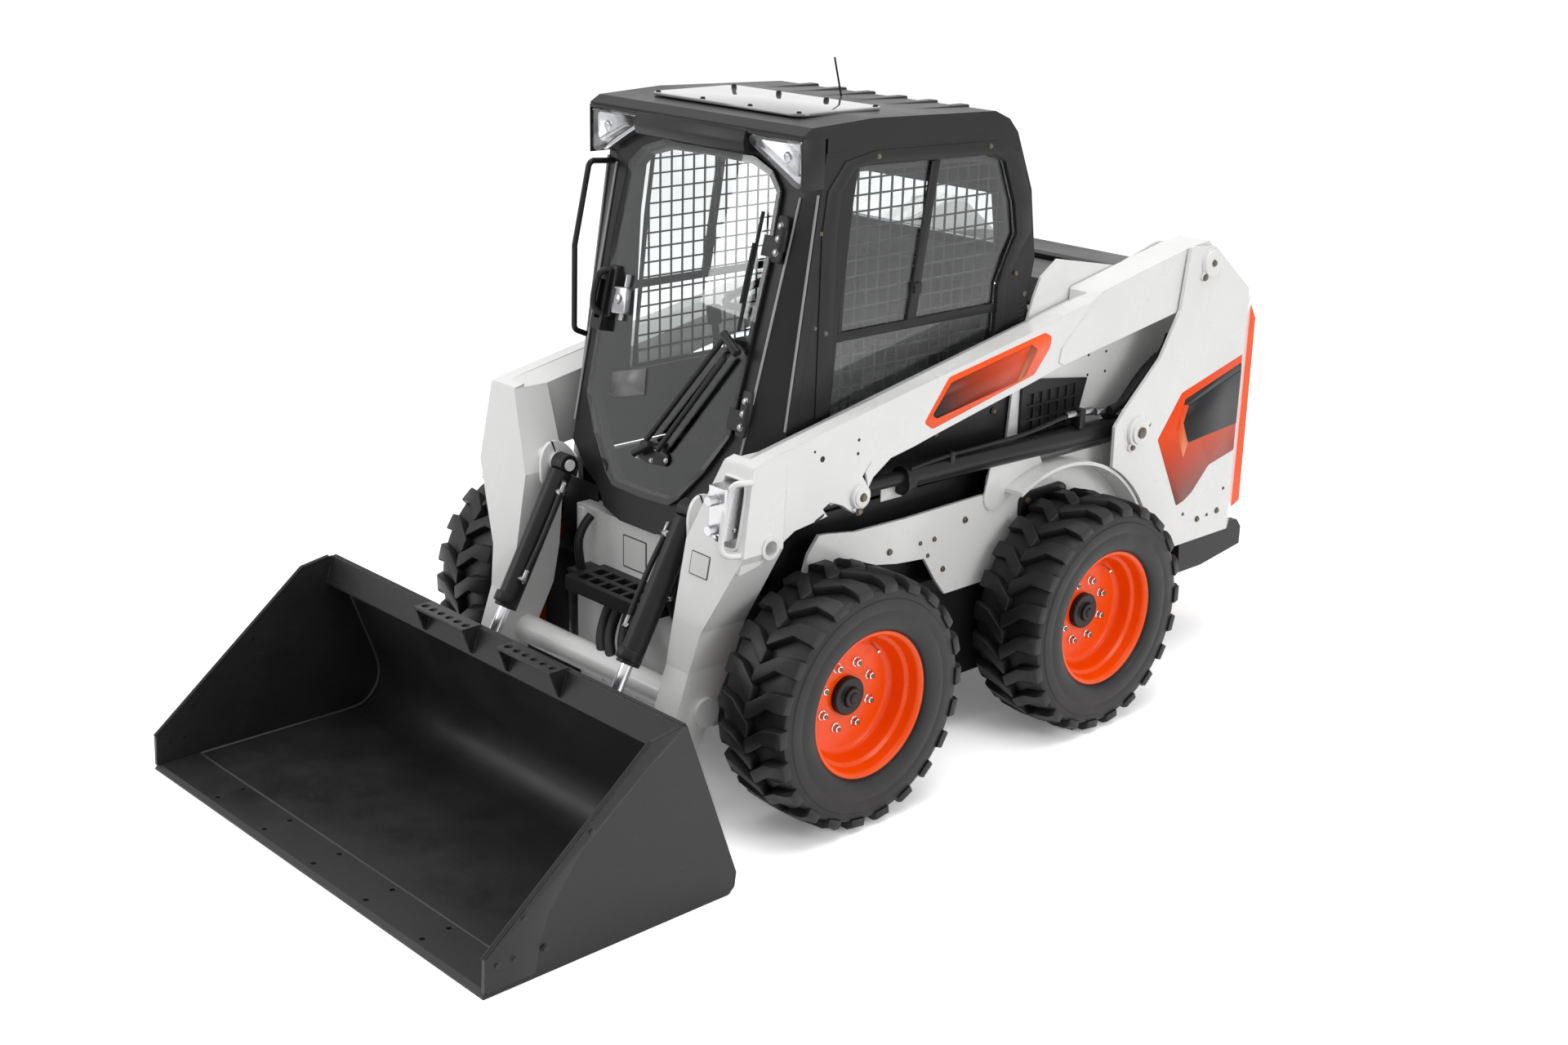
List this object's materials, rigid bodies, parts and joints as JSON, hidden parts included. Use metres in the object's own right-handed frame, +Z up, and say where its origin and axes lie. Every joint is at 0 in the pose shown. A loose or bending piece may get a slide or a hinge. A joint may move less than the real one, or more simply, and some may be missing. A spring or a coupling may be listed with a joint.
{
  "type": "skid steer loader",
  "caption": "Compact skid steer loader with a closed tilting cab, side lift arms, a wide smooth bucket, hydraulic cylinders and driven wheels.",
  "frame": {"origin": "on the ground, in the middle of the whole machine's box", "axes": "+Z up, the bucket's lip points along -Y, +X is the machine's left side"},
  "size_m": [1.727, 3.566, 2.1138],
  "materials": {
    "white_paint": "gloss white paint",
    "black_paint": "satin black paint",
    "orange_paint": "gloss orange paint",
    "bucket_steel": "satin dark grey paint, scuffed",
    "steel": "bright steel",
    "chrome_rod": "polished rod",
    "glass": "clear pane",
    "lens": "clear lamp lens",
    "red_lens": "red lamp lens",
    "tyre": "black rubber",
    "seal_rubber": "matt rubber",
    "cast_metal": "dark casting",
    "seat_vinyl": "black seat covering",
    "plastic": "moulded plastic"
  },
  "bodies": {
    "chassis": {"tub": "black_paint", "side_plates": "white_paint", "front_panel": "white_paint", "front_step": "black_paint", "towers": "white_paint", "fenders": "white_paint", "rear_bumper": "black_paint", "engine_block": "cast_metal", "hood": "black_paint", "side_screens": "black_paint", "axles": "black_paint"},
    "tailgate": {"tailgate": "orange_paint", "tailgate_grille": "black_paint", "tail_lamps": "red_lens"},
    "rear_cover": {"rear_cover": "black_paint"},
    "cab": {"cab_sides": "black_paint", "cab_rear": "black_paint", "cab_glass": "glass", "cab_roof": "black_paint", "work_lamps": "lens", "cab_front": "black_paint", "cab_floor": "black_paint", "controls": "plastic", "seat": "seat_vinyl", "window_guards": "black_paint", "grab_rail": "black_paint", "antenna": "plastic"},
    "seat_bar": {"seat_bar": "black_paint"},
    "door": {"door_glass": "glass", "door_seal": "seal_rubber", "door_fittings": "plastic"},
    "arms": {"arm_left": "white_paint", "arm_right": "white_paint", "arm_cross_tube": "white_paint", "coupler_block": "steel"},
    "bucket": {"quick_attach": "black_paint", "bucket": "bucket_steel", "cutting_edge": "bucket_steel"},
    "wheel_front_left": {"tyre_front_left": "tyre", "rim_front_left": "orange_paint"},
    "wheel_rear_left": {"tyre_rear_left": "tyre", "rim_rear_left": "orange_paint"},
    "lift_barrel_left": {"lift_barrel_left": "black_paint"},
    "lift_rod_left": {"lift_rod_left": "black_paint"},
    "tilt_barrel_left": {"tilt_barrel_left": "black_paint"},
    "tilt_rod_left": {"tilt_rod_left": "chrome_rod"},
    "wheel_front_right": {"tyre_front_right": "tyre", "rim_front_right": "orange_paint"},
    "wheel_rear_right": {"tyre_rear_right": "tyre", "rim_rear_right": "orange_paint"},
    "lift_barrel_right": {"lift_barrel_right": "black_paint"},
    "lift_rod_right": {"lift_rod_right": "black_paint"},
    "tilt_barrel_right": {"tilt_barrel_right": "black_paint"},
    "tilt_rod_right": {"tilt_rod_right": "chrome_rod"}
  },
  "joints": [
    {"name": "lift", "type": "hinge", "parent": "chassis", "child": "arms", "pos_m": [0, 1.359, 1.439], "axis": [-1, 0, 0], "range_deg": [0, 65]},
    {"name": "bucket_tilt", "type": "hinge", "parent": "arms", "child": "bucket", "pos_m": [0, -0.838, 0.19], "axis": [1, 0, 0], "range_deg": [-25, 107]},
    {"name": "cab_tilt", "type": "hinge", "parent": "chassis", "child": "cab", "pos_m": [0, 0.644, 1.345], "axis": [-1, 0, 0], "range_deg": [0, 45]},
    {"name": "door_hinge", "type": "hinge", "parent": "cab", "child": "door", "pos_m": [0.385, -0.5269, 1.06324], "axis": [0, -0.2436, -0.9699], "range_deg": [-90, 0]},
    {"name": "seat_bar_hinge", "type": "hinge", "parent": "cab", "child": "seat_bar", "pos_m": [0, 0.527, 1.4], "axis": [-1, 0, 0], "range_deg": [0, 65]},
    {"name": "tailgate_hinge", "type": "hinge", "parent": "chassis", "child": "tailgate", "pos_m": [-0.574, 1.759, 0.86], "axis": [0, 0, 1], "range_deg": [0, 100]},
    {"name": "rear_cover_hinge", "type": "hinge", "parent": "chassis", "child": "rear_cover", "pos_m": [0, 1.232, 1.378], "axis": [1, 0, 0], "range_deg": [0, 60]},
    {"name": "wheel_front_left_spin", "type": "hinge", "parent": "chassis", "child": "wheel_front_left", "pos_m": [0, -0.394, 0.386], "axis": [1, 0, 0], "continuous": true},
    {"name": "wheel_rear_left_spin", "type": "hinge", "parent": "chassis", "child": "wheel_rear_left", "pos_m": [0, 0.688, 0.386], "axis": [1, 0, 0], "continuous": true},
    {"name": "lift_barrel_left_pivot", "type": "hinge", "parent": "chassis", "child": "lift_barrel_left", "pos_m": [0, 1.023, 0.912], "axis": [-1, 0, 0], "range_deg": [-0.5, 65.08]},
    {"name": "lift_rod_left_slide", "type": "slide", "parent": "lift_barrel_left", "child": "lift_rod_left", "axis": [0, -0.9998, 0.0218], "range_m": [-0.002, 0.67352]},
    {"name": "tilt_barrel_left_pivot", "type": "hinge", "parent": "arms", "child": "tilt_barrel_left", "pos_m": [0, -0.636, 0.894], "axis": [1, 0, 0], "range_deg": [-2.12, 7.45]},
    {"name": "tilt_rod_left_slide", "type": "slide", "parent": "tilt_barrel_left", "child": "tilt_rod_left", "axis": [0, -0.4879, -0.8729], "range_m": [-0.07428, 0.31135]},
    {"name": "wheel_front_right_spin", "type": "hinge", "parent": "chassis", "child": "wheel_front_right", "pos_m": [0, -0.394, 0.386], "axis": [1, 0, 0], "continuous": true},
    {"name": "wheel_rear_right_spin", "type": "hinge", "parent": "chassis", "child": "wheel_rear_right", "pos_m": [0, 0.688, 0.386], "axis": [1, 0, 0], "continuous": true},
    {"name": "lift_barrel_right_pivot", "type": "hinge", "parent": "chassis", "child": "lift_barrel_right", "pos_m": [0, 1.023, 0.912], "axis": [-1, 0, 0], "range_deg": [-0.5, 65.08]},
    {"name": "lift_rod_right_slide", "type": "slide", "parent": "lift_barrel_right", "child": "lift_rod_right", "axis": [0, -0.9998, 0.0218], "range_m": [-0.002, 0.67352]},
    {"name": "tilt_barrel_right_pivot", "type": "hinge", "parent": "arms", "child": "tilt_barrel_right", "pos_m": [0, -0.636, 0.894], "axis": [1, 0, 0], "range_deg": [-2.12, 7.45]},
    {"name": "tilt_rod_right_slide", "type": "slide", "parent": "tilt_barrel_right", "child": "tilt_rod_right", "axis": [0, -0.4879, -0.8729], "range_m": [-0.07428, 0.31135]}
  ],
  "couplings": [
    {"joint": "lift_barrel_left_pivot", "follows": "lift", "ratio": 0.99352},
    {"joint": "lift_rod_left_slide", "follows": "lift", "m_per_rad": 0.59193},
    {"joint": "tilt_barrel_left_pivot", "follows": "bucket_tilt", "ratio": 0.064962},
    {"joint": "tilt_rod_left_slide", "follows": "bucket_tilt", "m_per_rad": 0.16565},
    {"joint": "lift_barrel_right_pivot", "follows": "lift", "ratio": 0.99352},
    {"joint": "lift_rod_right_slide", "follows": "lift", "m_per_rad": 0.59193},
    {"joint": "tilt_barrel_right_pivot", "follows": "bucket_tilt", "ratio": 0.064962},
    {"joint": "tilt_rod_right_slide", "follows": "bucket_tilt", "m_per_rad": 0.16565}
  ]
}
